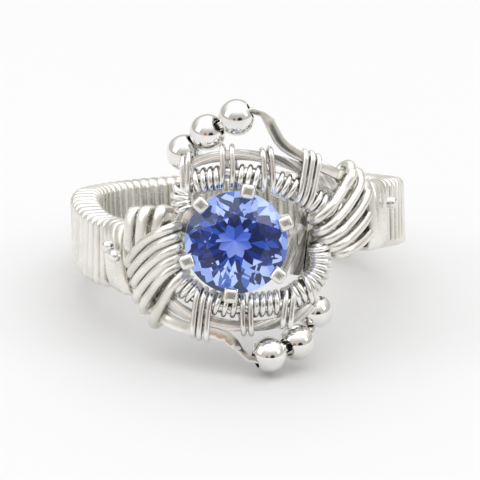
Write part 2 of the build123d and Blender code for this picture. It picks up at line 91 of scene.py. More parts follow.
# Lays the colour over on the colour under, as far as the mask says
def blend(tree, under, over, mask):
    mix = tree.nodes.new("ShaderNodeMix")
    mix.data_type = "RGBA"
    tree.links.new(mask, mix.inputs["Factor"])
    for slot, colour in ((6, under), (7, over)):
        if hasattr(colour, "links"):
            tree.links.new(colour, mix.inputs[slot])
        else:
            mix.inputs[slot].default_value = (*colour, 1)
    return mix.outputs[2]


polishLook = {
    "patches": 420.0,  # noise scale of the cloudy patches, per metre
    "hairTurn": (0.5, 0.9, 0.3), "hairStretch": (900, 14000, 9000), "hairSharpness": 3.0,
    "plainRough": 0.55, "patchRough": 0.9, "hairRough": 0.25,
}


# Hairline scratches and soft cloudy patches, the same on every silver piece
def makePolishWear(form):
    group, given, out = newGroup(
        "polishWear", {"Roughness": 0.12, "Scratch": 0.3},
        {"Roughness": "NodeSocketFloat", "Height": "NodeSocketFloat", "Cloud": "NodeSocketFloat"})
    place = group.nodes.new("ShaderNodeTexCoord").outputs["Object"]
    cloud = noiseNode(group, "3D", place, form["patches"], 3.0)
    stretch = group.nodes.new("ShaderNodeMapping")
    stretch.inputs["Rotation"].default_value = form["hairTurn"]
    stretch.inputs["Scale"].default_value = form["hairStretch"]
    group.links.new(place, stretch.inputs["Vector"])
    hair = noiseNode(group, "3D", stretch.outputs[0], 1.0)
    scratch = mathNode(group, "MULTIPLY", mathNode(group, "POWER", hair, form["hairSharpness"]),
                       given.outputs["Scratch"])
    patchy = mathNode(group, "MULTIPLY", cloud, form["patchRough"])
    share = mathNode(group, "ADD", patchy, form["plainRough"])
    rough = mathNode(group, "ADD", mathNode(group, "MULTIPLY", given.outputs["Roughness"], share),
                     mathNode(group, "MULTIPLY", scratch, form["hairRough"]))
    group.links.new(rough, out.inputs["Roughness"])
    group.links.new(scratch, out.inputs["Height"])
    group.links.new(cloud, out.inputs["Cloud"])
    return group


# Where the stone sits and how it looks. Reaches and edges are in stone radii across its axis; each colour
# holds from its share of chance up to the next one's. Faces below crownFoot are the lower facets, whose
# colours are painted reflections.
stoneLook = {
    "centre": (-1.205 * mm, -11.265 * mm, 9.27 * mm), "axis": (0.0, -0.9547, 0.2977), "radius": 3.5 * mm,
    "right": (0.999328, 0.01091, 0.034982), "up": (-0.036644, 0.297521, 0.954012),
    "shards": 4.0, "rows": 3.6, "starEdge": 0.25, "rayReach": 0.20, "ringEdge": 0.35, "toothReach": 0.3,
    # lowPaintedLight lightens the lower half of the star: painted light
    "sideReach": 0.38, "sideSharpness": 3.0, "lowPaintedLight": 0.6, "wedgePaintedLight": 0.4,
    # outside, ring and star hold the colours of painted reflections in the lower facets: dark and bright
    # shards, a dark ring, a pale star
    "outside": [(0.0, (0.03, 0.05, 0.12)), (0.34, (0.10, 0.19, 0.52)), (0.44, (0.40, 0.52, 0.86)),
                (0.72, (0.62, 0.74, 0.97))],
    "ring": [(0.0, (0.002, 0.012, 0.09)), (0.45, (0.008, 0.035, 0.22)), (0.78, (0.03, 0.10, 0.45)),
             (0.94, (0.35, 0.48, 0.90))],
    "star": [(0.0, (0.02, 0.06, 0.30)), (0.45, (0.10, 0.19, 0.60)), (0.85, (0.66, 0.68, 0.97))],
    "glassTint": (0.90, 0.95, 1.0), "bending": 1.69,
    # facetPaintedGlow is the strength of a painted glow from the lower facets
    "facetMetal": 0.35, "facetRoughness": 0.3, "facetPaintedGlow": 0.5, "crownFoot": -0.09 * mm,
}


# Lines that drawing leaves along a wire: rings about the stone's axis, since the wires swirl round it
def makeDrawnLines():
    group, given, out = newGroup(
        "drawnLines", {"Spacing": 0.05 * mm, "Streak scale": 0.22},
        {"Height": "NodeSocketFloat", "Streak": "NodeSocketFloat"})
    place = group.nodes.new("ShaderNodeTexCoord").outputs["Object"]
    offset = vectorNode(group, "SUBTRACT", place, stoneLook["centre"])
    reach = vectorNode(group, "LENGTH", vectorNode(group, "CROSS_PRODUCT", offset, stoneLook["axis"]))
    rings = mathNode(group, "DIVIDE", reach, given.outputs["Spacing"])
    streaks = mathNode(group, "MULTIPLY", rings, given.outputs["Streak scale"])
    group.links.new(noiseNode(group, "1D", rings, 1.0, 3.0), out.inputs["Height"])
    group.links.new(noiseNode(group, "1D", streaks, 1.0), out.inputs["Streak"])
    return group


# Painted reflections of the facets under the crown: a pale star in the middle, a dark ring and bright shards
# outside
def makePaintedFacetReflections(form):
    group, given, out = newGroup(
        "paintedFacetReflections", {"Shards": form["shards"], "Rows": form["rows"]}, {"Colour": "NodeSocketColor"})
    place = group.nodes.new("ShaderNodeTexCoord").outputs["Object"]
    offset = vectorNode(group, "SUBTRACT", place, form["centre"])

    def tones(value, stops, kind="CONSTANT"):
        ramp = group.nodes.new("ShaderNodeValToRGB")
        ramp.color_ramp.interpolation = kind
        for _ in stops[2:]:
            ramp.color_ramp.elements.new(0.5)
        for element, (position, colour) in zip(ramp.color_ramp.elements, stops):
            element.position, element.color = position, (*colour, 1)
        group.links.new(value, ramp.inputs["Fac"])
        return ramp.outputs["Color"]

    x, y = (mathNode(group, "DIVIDE", vectorNode(group, "DOT_PRODUCT", offset, form[side]), form["radius"])
            for side in ("right", "up"))
    reach = mathNode(group, "SQRT", mathNode(group, "ADD", mathNode(group, "MULTIPLY", x, x),
                                             mathNode(group, "MULTIPLY", y, y)))
    angle = mathNode(group, "ARCTAN2", y, x)
    eighth = mathNode(group, "MULTIPLY", angle, 8 / (2 * math.pi))

    # Shards: cells over angle and reach, each with its own chance of a dark or a bright painted reflection
    spread = group.nodes.new("ShaderNodeCombineXYZ")
    group.links.new(mathNode(group, "MULTIPLY", eighth, given.outputs["Shards"]), spread.inputs["X"])
    group.links.new(mathNode(group, "MULTIPLY", reach, given.outputs["Rows"]), spread.inputs["Y"])
    shard = group.nodes.new("ShaderNodeTexVoronoi")
    shard.voronoi_dimensions = "2D"
    shard.inputs["Scale"].default_value = 1.0
    group.links.new(spread.outputs[0], shard.inputs["Vector"])
    chance = group.nodes.new("ShaderNodeSeparateColor")
    group.links.new(shard.outputs["Color"], chance.inputs[0])
    outside = tones(chance.outputs[0], form["outside"])
    ring = tones(chance.outputs[1], form["ring"])

    # Star: each eighth has its own tone of painted reflection, and the lower ones are lighter, which is
    # painted light
    low = mathNode(group, "SUBTRACT", 0.5, mathNode(group, "MULTIPLY", mathNode(group, "SINE", angle), 0.5))
    wedge = group.nodes.new("ShaderNodeTexWhiteNoise")
    wedge.noise_dimensions = "1D"
    group.links.new(mathNode(group, "FLOOR", eighth), wedge.inputs["W"])
    starValue = mathNode(group, "ADD", mathNode(group, "MULTIPLY", low, form["lowPaintedLight"]),
                         mathNode(group, "MULTIPLY", wedge.outputs["Value"], form["wedgePaintedLight"]))
    star = tones(starValue, form["star"], "LINEAR")

    # The ring reaches further out at both sides, with teeth; the star has eight rays
    teeth = mathNode(group, "PINGPONG", mathNode(group, "MULTIPLY", eighth, 2.0), 0.5)
    sideways = mathNode(group, "POWER", mathNode(group, "ABSOLUTE", mathNode(group, "COSINE", angle)),
                        form["sideSharpness"])
    toothed = mathNode(group, "ADD", mathNode(group, "MULTIPLY", teeth, form["toothReach"]), form["ringEdge"])
    ringEdge = mathNode(group, "ADD", mathNode(group, "MULTIPLY", sideways, form["sideReach"]), toothed)
    rays = mathNode(group, "PINGPONG", eighth, 0.5)
    starEdge = mathNode(group, "ADD", mathNode(group, "MULTIPLY", rays, form["rayReach"]), form["starEdge"])
    colour = blend(group, outside, ring, mathNode(group, "LESS_THAN", reach, ringEdge))
    colour = blend(group, colour, star, mathNode(group, "LESS_THAN", reach, starEdge))
    group.links.new(colour, out.inputs["Colour"])
    return group


def newMaterial(name):
    material = bpy.data.materials.new(name)
    material.use_nodes = True
    return material, material.node_tree.nodes["Principled BSDF"]


# Clear glass for the crown and girdle
def crownGlass(form):
    material, shader = newMaterial("tanzaniteCrown")
    shader.inputs["Base Color"].default_value = (*form["glassTint"], 1)
    shader.inputs["Transmission Weight"].default_value = 1.0
    shader.inputs["Roughness"].default_value = 0.0
    shader.inputs["IOR"].default_value = form["bending"]
    return material


# The lower facets, painted with reflections in blue tones, which they also give off as a painted glow
def paintedReflectionFacets(form):
    material, shader = newMaterial("tanzaniteFacetsPaintedReflections")
    tree = material.node_tree
    tones = placeGroup(tree, makePaintedFacetReflections(form), {"Shards": form["shards"], "Rows": form["rows"]})
    tree.links.new(tones.outputs["Colour"], shader.inputs["Base Color"])
    # Painted glow: the facets give off their painted reflection colour, though they are no lamp
    tree.links.new(tones.outputs["Colour"], shader.inputs["Emission Color"])
    shader.inputs["Metallic"].default_value = form["facetMetal"]
    shader.inputs["Roughness"].default_value = form["facetRoughness"]
    shader.inputs["Emission Strength"].default_value = form["facetPaintedGlow"]
    shader.inputs["IOR"].default_value = form["bending"]
    return material


polishWear = makePolishWear(polishLook)
drawnLines = makeDrawnLines()
silverLooks = {
    "setting": {"bright": (0.92, 0.91, 0.88), "dull": (0.80, 0.79, 0.76), "rough": 0.26, "scratch": 0.25,
                "bump": 0.2},
    "coreWire": {"bright": (0.90, 0.885, 0.85), "dull": (0.36, 0.35, 0.33), "rough": 0.20, "scratch": 0.2,
                 "bump": 1.0, "lines": 3.0},
    "outerWire": {"bright": (0.90, 0.885, 0.85), "dull": (0.72, 0.70, 0.66), "rough": 0.20, "scratch": 0.3,
                  "bump": 0.3},
    "bead": {"bright": (0.90, 0.89, 0.87), "dull": (0.80, 0.79, 0.77), "rough": 0.07, "scratch": 0.12,
             "bump": 0.12},
    "coilWire": {"bright": (0.92, 0.915, 0.895), "dull": (0.80, 0.79, 0.77), "rough": 0.22, "scratch": 0.3,
                 "bump": 0.3},
    "wrapWire": {"bright": (0.88, 0.87, 0.825), "dull": (0.76, 0.75, 0.70), "rough": 0.26, "scratch": 0.35,
                 "bump": 0.3},
}
silverSurface = {
    "dullBelow": 0.38, "brightAbove": 0.6, "depth": 0.01 * mm, "lineSpacing": 0.085 * mm, "streaks": 0.22,
}


def silver(name, form):
    material, shader = newMaterial(name + "Silver")
    tree = material.node_tree
    shader.inputs["Metallic"].default_value = 1.0
    wear = placeGroup(tree, polishWear, {"Roughness": form["rough"], "Scratch": form["scratch"]})
    height, mixBy = wear.outputs["Height"], wear.outputs["Cloud"]
    if "lines" in form:
        drawn = placeGroup(tree, drawnLines, {
            "Spacing": silverSurface["lineSpacing"], "Streak scale": silverSurface["streaks"]})
        drawnHeight = mathNode(tree, "MULTIPLY", drawn.outputs["Height"], form["lines"])
        height = mathNode(tree, "ADD", height, drawnHeight)
        mixBy = mathNode(tree, "MULTIPLY", mathNode(tree, "ADD", mixBy, drawn.outputs["Streak"]), 0.5)
    ramp = tree.nodes.new("ShaderNodeValToRGB")
    ends = zip(ramp.color_ramp.elements, (("dullBelow", "dull"), ("brightAbove", "bright")))
    for element, (position, colour) in ends:
        element.position, element.color = silverSurface[position], (*form[colour], 1)
    tree.links.new(mixBy, ramp.inputs["Fac"])
    tree.links.new(ramp.outputs["Color"], shader.inputs["Base Color"])
    tree.links.new(wear.outputs["Roughness"], shader.inputs["Roughness"])
    relief = tree.nodes.new("ShaderNodeBump")
    relief.inputs["Strength"].default_value = form["bump"]
    relief.inputs["Distance"].default_value = silverSurface["depth"]
    tree.links.new(height, relief.inputs["Height"])
    tree.links.new(relief.outputs["Normal"], shader.inputs["Normal"])
    return material


looks = {name: silver(name, form) for name, form in silverLooks.items()}
looks["stone"] = crownGlass(stoneLook)
print("silver and stone mixed")


def only(piece):
    bpy.ops.object.select_all(action="DESELECT")
    piece.select_set(True)
    bpy.context.view_layer.objects.active = piece


def joined(parts):
    bpy.ops.object.select_all(action="DESELECT")
    for part in parts:
        part.select_set(True)
    bpy.context.view_layer.objects.active = parts[0]
    bpy.ops.object.join()
    return parts[0]


def settle(piece, pieceName, look, slot, *replaced):
    piece.name = piece.data.name = pieceName
    piece.data.materials.clear()
    piece.data.materials.append(looks[look])
    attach(piece, "root")
    if replaced:
        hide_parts(*replaced)


# What a piece made from a CAD solid gets: lengths in mm, angles in degrees
softWays = {"weld": 0.001, "swell": 0.0, "bevel": 0.0, "segments": 2, "bevelFrom": 35, "smooth": 40}
softForms = {
    "stone": {"piece": "cutStone", "look": "stone", "slot": "stone", "smooth": 4},
    "setting": {"piece": "prongSetting", "look": "setting", "slot": "setting", "bevel": 0.17, "segments": 4},
    "upper_outer_wire": {"piece": "upperOuterStrand", "look": "outerWire", "slot": "core_wire",
                         "bevel": 0.05},
    "upper_middle_wire": {"piece": "upperMiddleStrand", "look": "coreWire", "slot": "core_wire",
                          "bevel": 0.05},
    "lower_outer_wire": {"piece": "lowerOuterStrand", "look": "outerWire", "slot": "core_wire",
                         "bevel": 0.05},
    "lower_middle_wire": {"piece": "lowerMiddleStrand", "look": "coreWire", "slot": "core_wire",
                          "bevel": 0.05},
    "front_brace": {"piece": "frontBraceStrand", "look": "coreWire", "slot": "core_wire", "bevel": 0.16,
                    "segments": 3},
    "inner_wire": {"piece": "innerStrand", "look": "coilWire", "slot": "core_wire"},
    "shank_wrap": {"piece": "bandWraps", "look": "wrapWire", "slot": "wrap_wire", "swell": 0.09},
    "right_upright_wrap": {"piece": "rightUprightWrap", "look": "wrapWire", "slot": "wrap_wire",
                           "swell": 0.05},
}
madeAnew = ["left_slanted_wrap", "right_slanted_wrap", "left_upright_wrap", "left_collar", "right_collar"]


# A merged copy of a CAD solid, swollen and with rounded edges
def softened(node, form):
    only(node)
    bpy.ops.object.duplicate()
    piece = bpy.context.object
    for key in [key for key in piece.keys() if key.startswith("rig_")]:
        del piece[key]
    piece.parent = None
    bpy.ops.object.mode_set(mode="EDIT")
    bpy.ops.mesh.select_all(action="SELECT")
    bpy.ops.mesh.remove_doubles(threshold=form["weld"] * mm)
    if form["swell"]:
        bpy.ops.transform.shrink_fatten(value=form["swell"] * mm)
    bpy.ops.object.mode_set(mode="OBJECT")
    if form["bevel"]:
        rounding = piece.modifiers.new("rounding", "BEVEL")
        rounding.width = form["bevel"] * mm
        rounding.segments = form["segments"]
        rounding.limit_method = "ANGLE"
        rounding.angle_limit = math.radians(form["bevelFrom"])
        bpy.ops.object.modifier_apply(modifier="rounding")
    bpy.ops.object.shade_smooth_by_angle(angle=math.radians(form["smooth"]))
    if form["bevel"]:
        flats = piece.modifiers.new("flats", "WEIGHTED_NORMAL")
        flats.keep_sharp = True
        bpy.ops.object.modifier_apply(modifier="flats")
    return piece


for nodeName, form in softForms.items():
    piece = softened(nodes[nodeName], {**softWays, **form})
    settle(piece, form["piece"], form["look"], form["slot"], nodeName)
for nodeName, node in nodes.items():
    if nodeName not in softForms and nodeName not in madeAnew:
        look = "bead" if "bead" in nodeName or "end" in nodeName else "coilWire"
        node.data.materials.clear()
        node.data.materials.append(looks[look])

# The stone's faces under the girdle get the painted facet reflections and the painted glow
stone = bpy.data.objects["cutStone"]
stone.data.materials.append(paintedReflectionFacets(stoneLook))
for face in stone.data.polygons:
    height = (face.center - Vector(stoneLook["centre"])).dot(Vector(stoneLook["axis"]))
    face.material_index = int(height < stoneLook["crownFoot"])
print("CAD pieces softened and finished")

# Prong tips: each prong ends in a small rounded block with a shallow dish, pressed over the girdle
tipForms = {
    "angles": [20.0, 76.0, 131.0, 198.0, 261.0, 320.0], "reach": 3.60, "height": 0.76,
    "size": (1.02, 0.98, 0.66), "corner": 0.27, "cornerSteps": 5, "lip": 0.04, "dish": 0.12, "smooth": 35,
}
axis, right = Vector(stoneLook["axis"]), Vector(stoneLook["right"])
across = axis.cross(right).normalized()
tips = []
for angle in tipForms["angles"]:
    bpy.ops.object.select_all(action="DESELECT")
    bpy.ops.mesh.primitive_cube_add(size=1 * mm)
    tip = bpy.context.object
    tip.scale = tipForms["size"]
    bpy.ops.object.transform_apply()
    bpy.ops.object.mode_set(mode="EDIT")
    bpy.ops.mesh.select_all(action="SELECT")
    bpy.ops.mesh.bevel(offset=tipForms["corner"] * mm, segments=tipForms["cornerSteps"], affect="EDGES")
    bpy.ops.mesh.select_all(action="DESELECT")
    bpy.ops.object.mode_set(mode="OBJECT")
    tip.data.polygons[max(tip.data.polygons, key=lambda face: face.center.z).index].select = True
    bpy.ops.object.mode_set(mode="EDIT")
    bpy.ops.mesh.select_mode(type="FACE")
    bpy.ops.mesh.inset(thickness=tipForms["lip"] * mm, depth=-tipForms["dish"] * mm)
    bpy.ops.object.mode_set(mode="OBJECT")
    outward = right * math.cos(math.radians(angle)) + across * math.sin(math.radians(angle))
    turned = Matrix((outward, axis.cross(outward), axis)).transposed().to_4x4()
    spot = Vector(stoneLook["centre"]) + (outward * tipForms["reach"] + axis * tipForms["height"]) * mm
    tip.matrix_world = Matrix.Translation(spot) @ turned
    bpy.ops.object.transform_apply()
    bpy.ops.object.shade_smooth_by_angle(angle=math.radians(tipForms["smooth"]))
    tips.append(tip)
settle(joined(tips), "prongTips", "setting", "setting")
print("prong tips pressed")


# Places on the head: around and up are in swirl radii, lift in millimetres, as on the frame. The wires'
# middle lies core from the finger's axis, and rise more in front; it falls from flat to foot degrees.
head = {
    "turn": Matrix((
        (0.999328, 0.0, -0.036644), (0.01091, 0.954653, 0.297521), (0.034982, -0.297721, 0.954012))),
    "centre": Vector((0.0007, 2.1698, 5.5247)), "stone": (-0.27, -0.08),
    "swirl": 4.5, "core": 10.64, "rise": 2.3, "flat": 22.0, "foot": 60.0,
}
lineStep = 0.05  # mm between the places of a smooth line


def shellRadius(angle):
    share = min(max((head["foot"] - abs(angle)) / (head["foot"] - head["flat"]), 0.0), 1.0)
    return head["core"] + head["rise"] * (0.5 - 0.5 * math.cos(math.pi * share))


def onHead(around, height, lift=0.0):
    angle = around * head["swirl"] / (head["core"] + head["rise"])
    radius = shellRadius(math.degrees(angle)) + lift
    return Vector((radius * math.sin(angle), -radius * math.cos(angle), height * head["swirl"]))


# A natural spline through the points, in even steps
def smoothLine(points):
    knots = numpy.array([tuple(point) for point in points])
    gaps = numpy.linalg.norm(numpy.diff(knots, axis=0), axis=1)
    count = len(knots)
    system, pull = numpy.zeros((count, count)), numpy.zeros((count, 3))
    system[0, 0] = system[-1, -1] = 1
    for k in range(1, count - 1):
        system[k, k - 1], system[k, k], system[k, k + 1] = gaps[k - 1], 2 * (gaps[k - 1] + gaps[k]), gaps[k]
        pull[k] = 6 * ((knots[k + 1] - knots[k]) / gaps[k] - (knots[k] - knots[k - 1]) / gaps[k - 1])
    bend = numpy.linalg.solve(system, pull)
    places = []
    for k, gap in enumerate(gaps):
        for share in numpy.arange(0, 1, lineStep / gap / 2):
            a, b = 1 - share, share
            places.append(a * knots[k] + b * knots[k + 1]
                          + ((a**3 - a) * bend[k] + (b**3 - b) * bend[k + 1]) * gap**2 / 6)
    places = numpy.array(places + [knots[-1]])
    along = numpy.concatenate([[0], numpy.cumsum(numpy.linalg.norm(numpy.diff(places, axis=0), axis=1))])
    even = numpy.arange(0, along[-1], lineStep)
    return numpy.stack([numpy.interp(even, along, places[:, axis]) for axis in range(3)], axis=1)


# The place on a smooth line at a length, and the line's way there, read over a few steps
def placeOn(line, length):
    steps = min(max(length / lineStep, 0.0), len(line) - 1.001)
    low = int(steps)
    point = Vector(line[low] * (1 - steps + low) + line[low + 1] * (steps - low))
    before, after = line[max(low - 3, 0)], line[min(low + 4, len(line) - 1)]
    return point, Vector(after - before).normalized()


# Lengths in mm: "round" and "tip" are half a turn's depth at the inner and at the far wire. The first turns
# are slim and grow to their full width past "slimTo".
fineWire = {
    "radius": 0.2, "round": 0.615, "tip": 0.56, "steps": 26, "slimTo": 1.5, "lastPitch": 0.4, "smooth": 50,
    "nearSteps": 8, "sideSteps": 6, "farSteps": 12, "sides": 3,
}


# Outline of a turn that reaches out over other wires, as (toward, outward) pairs: a quarter round the
# inner wire, straight on, half round the far wire, and the same way back underneath
def longTurn(inner, low, far, depth):
    near, side, over = fineWire["nearSteps"], fineWire["sideSteps"], fineWire["farSteps"]
    reach = far - depth
    front = []
    for k in range(near + 1):
        angle = math.pi / 2 * k / near
        front.append((-inner * math.cos(angle), low * math.sin(angle)))
    for k in range(1, side):
        front.append((reach * k / side, low + (depth - low) * k / side))
    end = []
    for k in range(over + 1):
        angle = math.pi * k / over
        end.append((reach + depth * math.sin(angle), depth * math.cos(angle)))
    return front + end + [(toward, -outward) for toward, outward in reversed(front)]


# Rows are places of the inner wire's middle. Plain turns are lengths along it; long turns, "tips", have a
# length and the place on the head that they reach.
coilForms = {
    "upperFineCoil": {
        "rows": [
            (-1.00, 0.40), (-1.065, 0.57), (-1.03, 0.73), (-0.88, 0.855), (-0.62, 0.925), (-0.35, 0.95),
            (-0.05, 0.945), (0.24, 0.89), (0.50, 0.80), (0.74, 0.68), (1.00, 0.53), (1.27, 0.37),
            (1.50, 0.26), (1.80, 0.175), (2.10, 0.125), (2.45, 0.10)],
        "plain": [0.03, 0.45, 0.87, 1.29, 2.64, 3.14, 3.64, 4.07, 5.68, 6.2, 6.74, 8.36, 8.87, 9.4,
                  11.35, 11.8, 12.25, 12.7, 13.15],
        "tips": [
            (1.72, -1.008, 1.211), (2.12, -0.909, 1.27), (4.48, -0.411, 1.409), (5.20, -0.266, 1.404),
            (7.27, 0.176, 1.348), (7.87, 0.297, 1.364), (9.95, 0.864, 1.286), (10.4, 0.974, 1.255),
            (10.85, 1.077, 1.203)],
        "inward": 0.31, "plainRound": 0.76, "node": ("upper_coil", "upper_binding"),
    },
    "lowerFineCoil": {
        "rows": [
            (1.01, -0.19), (1.055, -0.37), (1.05, -0.56), (0.96, -0.76), (0.79, -0.91), (0.52, -1.05),
            (0.20, -1.11), (-0.12, -1.12), (-0.44, -1.10), (-0.74, -1.02), (-1.00, -0.87), (-1.22, -0.70),
            (-1.45, -0.55), (-1.75, -0.44), (-2.10, -0.39), (-2.45, -0.333)],
        "plain": [0.25, 0.68, 1.11, 1.54, 1.97, 2.4, 2.82, 3.93, 4.38, 5.9, 6.35, 6.85, 7.3,
                  8.72, 9.3, 9.88, 11.85, 12.3, 12.75, 13.2],
        "tips": [
            (3.2, 0.968, -1.089), (3.5, 0.886, -1.098), (4.85, 0.50, -1.46), (5.42, 0.386, -1.453),
            (7.70, -0.07, -1.559), (8.23, -0.18, -1.554), (10.45, -0.754, -1.63), (10.92, -0.868, -1.605),
            (11.38, -0.961, -1.581)],
        "inward": 0.24, "plainRound": 0.72, "node": ("lower_coil", "lower_binding"),
    },
}


# All turns of a coil in one line. A plain turn goes round the inner wire, a long one leans to its tip.
def coilPath(form):
    line = smoothLine([onHead(*row) for row in form["rows"]])
    turns = sorted([(length, None) for length in form["plain"]] + [(tip[0], tip[1:]) for tip in form["tips"]])
    stonePlace = onHead(*head["stone"])
    path = []
    for k, (length, tip) in enumerate(turns):
        ahead = turns[k + 1][0] if k + 1 < len(turns) else length + fineWire["lastPitch"]
        point = placeOn(line, length)[0]
        grown = min(max((length - fineWire["slimTo"]) / fineWire["slimTo"], 0.0), 1.0)
        inward = form["inward"] * grown
        wide = fineWire["round"] + (form["plainRound"] - fineWire["round"]) * grown
        if tip:
            toward = onHead(*tip) - point
            out = Vector((point.x, point.y, 0)).normalized()
            far = toward.dot((toward - out * toward.dot(out)).normalized())
            outline = longTurn(inward + wide, fineWire["round"], far - fineWire["radius"], fineWire["tip"])
        else:
            steps = fineWire["steps"]
            outline = [(-inward - wide * math.cos(2 * math.pi * step / steps),
                        fineWire["round"] * math.sin(2 * math.pi * step / steps)) for step in range(steps)]
        for step, (reach, depth) in enumerate(outline):
            here, along = placeOn(line, length + (ahead - length) * step / len(outline))
            out = Vector((here.x, here.y, 0)).normalized()
            way = out.cross(along).normalized()
            if tip:
                lean = onHead(*tip) - here
                way = (lean - out * lean.dot(out)).normalized()
            elif way.dot(here - stonePlace) < 0:
                way = -way
            path.append(here + way * reach + out * depth)
    return path


# Rounds off the steps between one turn and the next
def eased(path, times=2):
    for _ in range(times):
        inside = [(path[k - 1] + path[k] * 2 + path[k + 1]) / 4 for k in range(1, len(path) - 1)]
        path = [path[0]] + inside + [path[-1]]
    return path


def strandFrom(name, path, wire):
    curve = bpy.data.curves.new(name, "CURVE")
    curve.dimensions = "3D"
    curve.bevel_depth = wire["radius"] * mm
    curve.bevel_resolution = wire["sides"]
    curve.use_fill_caps = True
    spline = curve.splines.new("POLY")
    spline.points.add(len(path) - 1)
    for place, knot in zip(path, spline.points):
        knot.co = (*((head["turn"] @ Vector(place) + head["centre"]) * mm), 1)
    piece = bpy.data.objects.new(name, curve)
    bpy.context.scene.collection.objects.link(piece)
    only(piece)
    bpy.ops.object.convert(target="MESH")
    bpy.ops.object.shade_smooth_by_angle(angle=math.radians(wire["smooth"]))
    return bpy.context.object


for pieceName, form in coilForms.items():
    coil = strandFrom(pieceName, eased(coilPath(form)), fineWire)
    settle(coil, pieceName, "coilWire", "coil_wire", *form["node"])
print("fine coils wound")

# Slanted wraps: each crosses the bundle from beside the stone, where it comes from below, to beyond
# the far wire. Near end, bend and far end, around and up in swirl radii; back is 1 where the wire goes on
# behind the bundle.
slantForms = {
    "rightSlantedWraps": {
        "rows": [
            (0.955, 0.165, 1.42, 0.60, 1.70, 0.95), (1.02, -0.02, 1.62, 0.44, 1.95, 0.82),
            (1.10, -0.155, 1.74, 0.22, 2.24, 0.58), (1.205, -0.275, 1.90, 0.04, 2.52, 0.40),
            (1.32, -0.375, 2.05, -0.16, 2.80, 0.14)],
        "back": [1, 1, 0, 0, 0], "node": "right_slanted_wrap",
    },
    "leftSlantedWraps": {
        "rows": [
            (-1.16, 0.165, -1.60, -0.02, -2.20, -0.47), (-1.125, 0.01, -1.52, -0.16, -2.13, -0.63),
            (-1.09, -0.14, -1.45, -0.31, -2.02, -0.77), (-1.11, -0.29, -1.40, -0.46, -1.99, -1.00),
            (-1.13, -0.42, -1.36, -0.60, -1.83, -1.14), (-1.05, -0.55, -1.24, -0.78, -1.62, -1.34)],
        "back": [0, 0, 0, 1, 1, 1], "node": "left_slanted_wrap",
    },
}
# The course of a slanted wrap: shares of near end, bend and far end, curls on along the first and back
# along the last run, and the share of the rise. "under" goes on behind the bundle.
slantWire = {
    "radius": 0.355, "rise": 0.74, "curl": 0.055, "sides": 4, "smooth": 50,
    "over": [
        ((1, 0, 0), 3.2, 0, -0.95), ((1, 0, 0), 1.2, 0, -0.72), ((1, 0, 0), 0, 0, -0.1),
        ((1, 0, 0), 0.9, 0, 0.62), ((1, 0, 0), 2.8, 0, 0.95), ((0.35, 0.65, 0), 0, 0, 1.0),
        ((0, 0.75, 0.25), 0, 0, 1.0), ((0, 0.3, 0.7), 0, 0, 1.0), ((0, 0, 1), 0, 2.4, 0.93),
        ((0, 0, 1), 0, 0.7, 0.55), ((0, 0, 1), 0, 0, -0.1)],
    "under": [((0, 0, 1), 0, 1, -0.7), ((0, 0, 1), 0, 3, -0.95), ((0, 1, 0), 0, 0, -0.95)],
}


def slantPath(row, wholeTurn):
    near, bend, far = Vector(row[0:2]), Vector(row[2:4]), Vector(row[4:6])
    first = (bend - near).normalized() * slantWire["curl"]
    last = (far - bend).normalized() * slantWire["curl"]
    points = []
    for shares, on, back, lift in slantWire["over"] + (slantWire["under"] if wholeTurn else []):
        place = near * shares[0] + bend * shares[1] + far * shares[2] + first * on - last * back
        points.append(onHead(*place, lift * slantWire["rise"]))
    return smoothLine(points)


for pieceName, form in slantForms.items():
    strands = [strandFrom(pieceName + str(k), slantPath(row, form["back"][k]), slantWire)
               for k, row in enumerate(form["rows"])]
    settle(joined(strands), pieceName, "wrapWire", "wrap_wire", form["node"])
print("slanted wraps laid")

# Shoulder wraps: flat bands round the bundle beside the slanted ones. Top and foot are around and up
# in swirl radii; front and behind are heights over the wires' middle in millimetres.
shoulderForms = {
    "leftUprightWraps": {
        "bands": [
            {"top": (-1.99, 0.40), "foot": (-2.10, -0.50), "front": 0.86, "behind": -0.6},
            {"top": (-1.70, 0.42), "foot": (-1.80, -0.28), "front": 0.70, "behind": -0.8},
            {"top": (-1.44, 0.42), "foot": (-1.60, -0.12), "front": 0.05, "behind": -1.3}],
        "width": 0.86, "node": "left_upright_wrap",
    },
    "leftCollars": {
        "bands": [
            {"top": (-2.76, 0.16), "foot": (-2.68, -0.83), "front": 0.92, "behind": -0.65},
            {"top": (-2.56, 0.14), "foot": (-2.46, -0.87), "front": 1.0, "behind": -0.65},
            {"top": (-2.33, 0.13), "foot": (-2.24, -0.90), "front": 1.0, "behind": -0.65}],
        "width": 0.90, "node": "left_collar",
    },
    "rightCollars": {
        "bands": [
            {"top": (2.10, 0.66), "foot": (2.22, -0.37), "front": 0.95, "behind": -0.65},
            {"top": (2.36, 0.62), "foot": (2.42, -0.38), "front": 1.1, "behind": -0.65},
            {"top": (2.58, 0.60), "foot": (2.62, -0.38), "front": 1.1, "behind": -0.65},
            {"top": (2.80, 0.60), "foot": (2.82, -0.38), "front": 1.0, "behind": -0.65}],
        "width": 0.90, "node": "right_collar",
    },
}
shoulderWire = {
    "thick": 0.40, "loopPower": 0.62, "loopSteps": 28, "outlinePower": 0.8, "outlineSteps": 20, "smooth": 60,
}


# A closed outline between an ellipse and its box: the lower the power, the nearer to the box
def roundedBox(halfWide, halfTall, power, steps):
    outline = []
    for k in range(steps):
        x, y = math.cos(2 * math.pi * k / steps), math.sin(2 * math.pi * k / steps)
        outline.append((halfWide * math.copysign(abs(x) ** power, x),
                        halfTall * math.copysign(abs(y) ** power, y)))
    return outline


def closedLine(name, places):
    curve = bpy.data.curves.new(name, "CURVE")
    line = curve.splines.new("POLY")
    line.points.add(len(places) - 1)
    line.use_cyclic_u = True
    for (x, y), knot in zip(places, line.points):
        knot.co = (x * mm, y * mm, 0, 1)
    piece = bpy.data.objects.new(name, curve)
    bpy.context.scene.collection.objects.link(piece)
    return piece


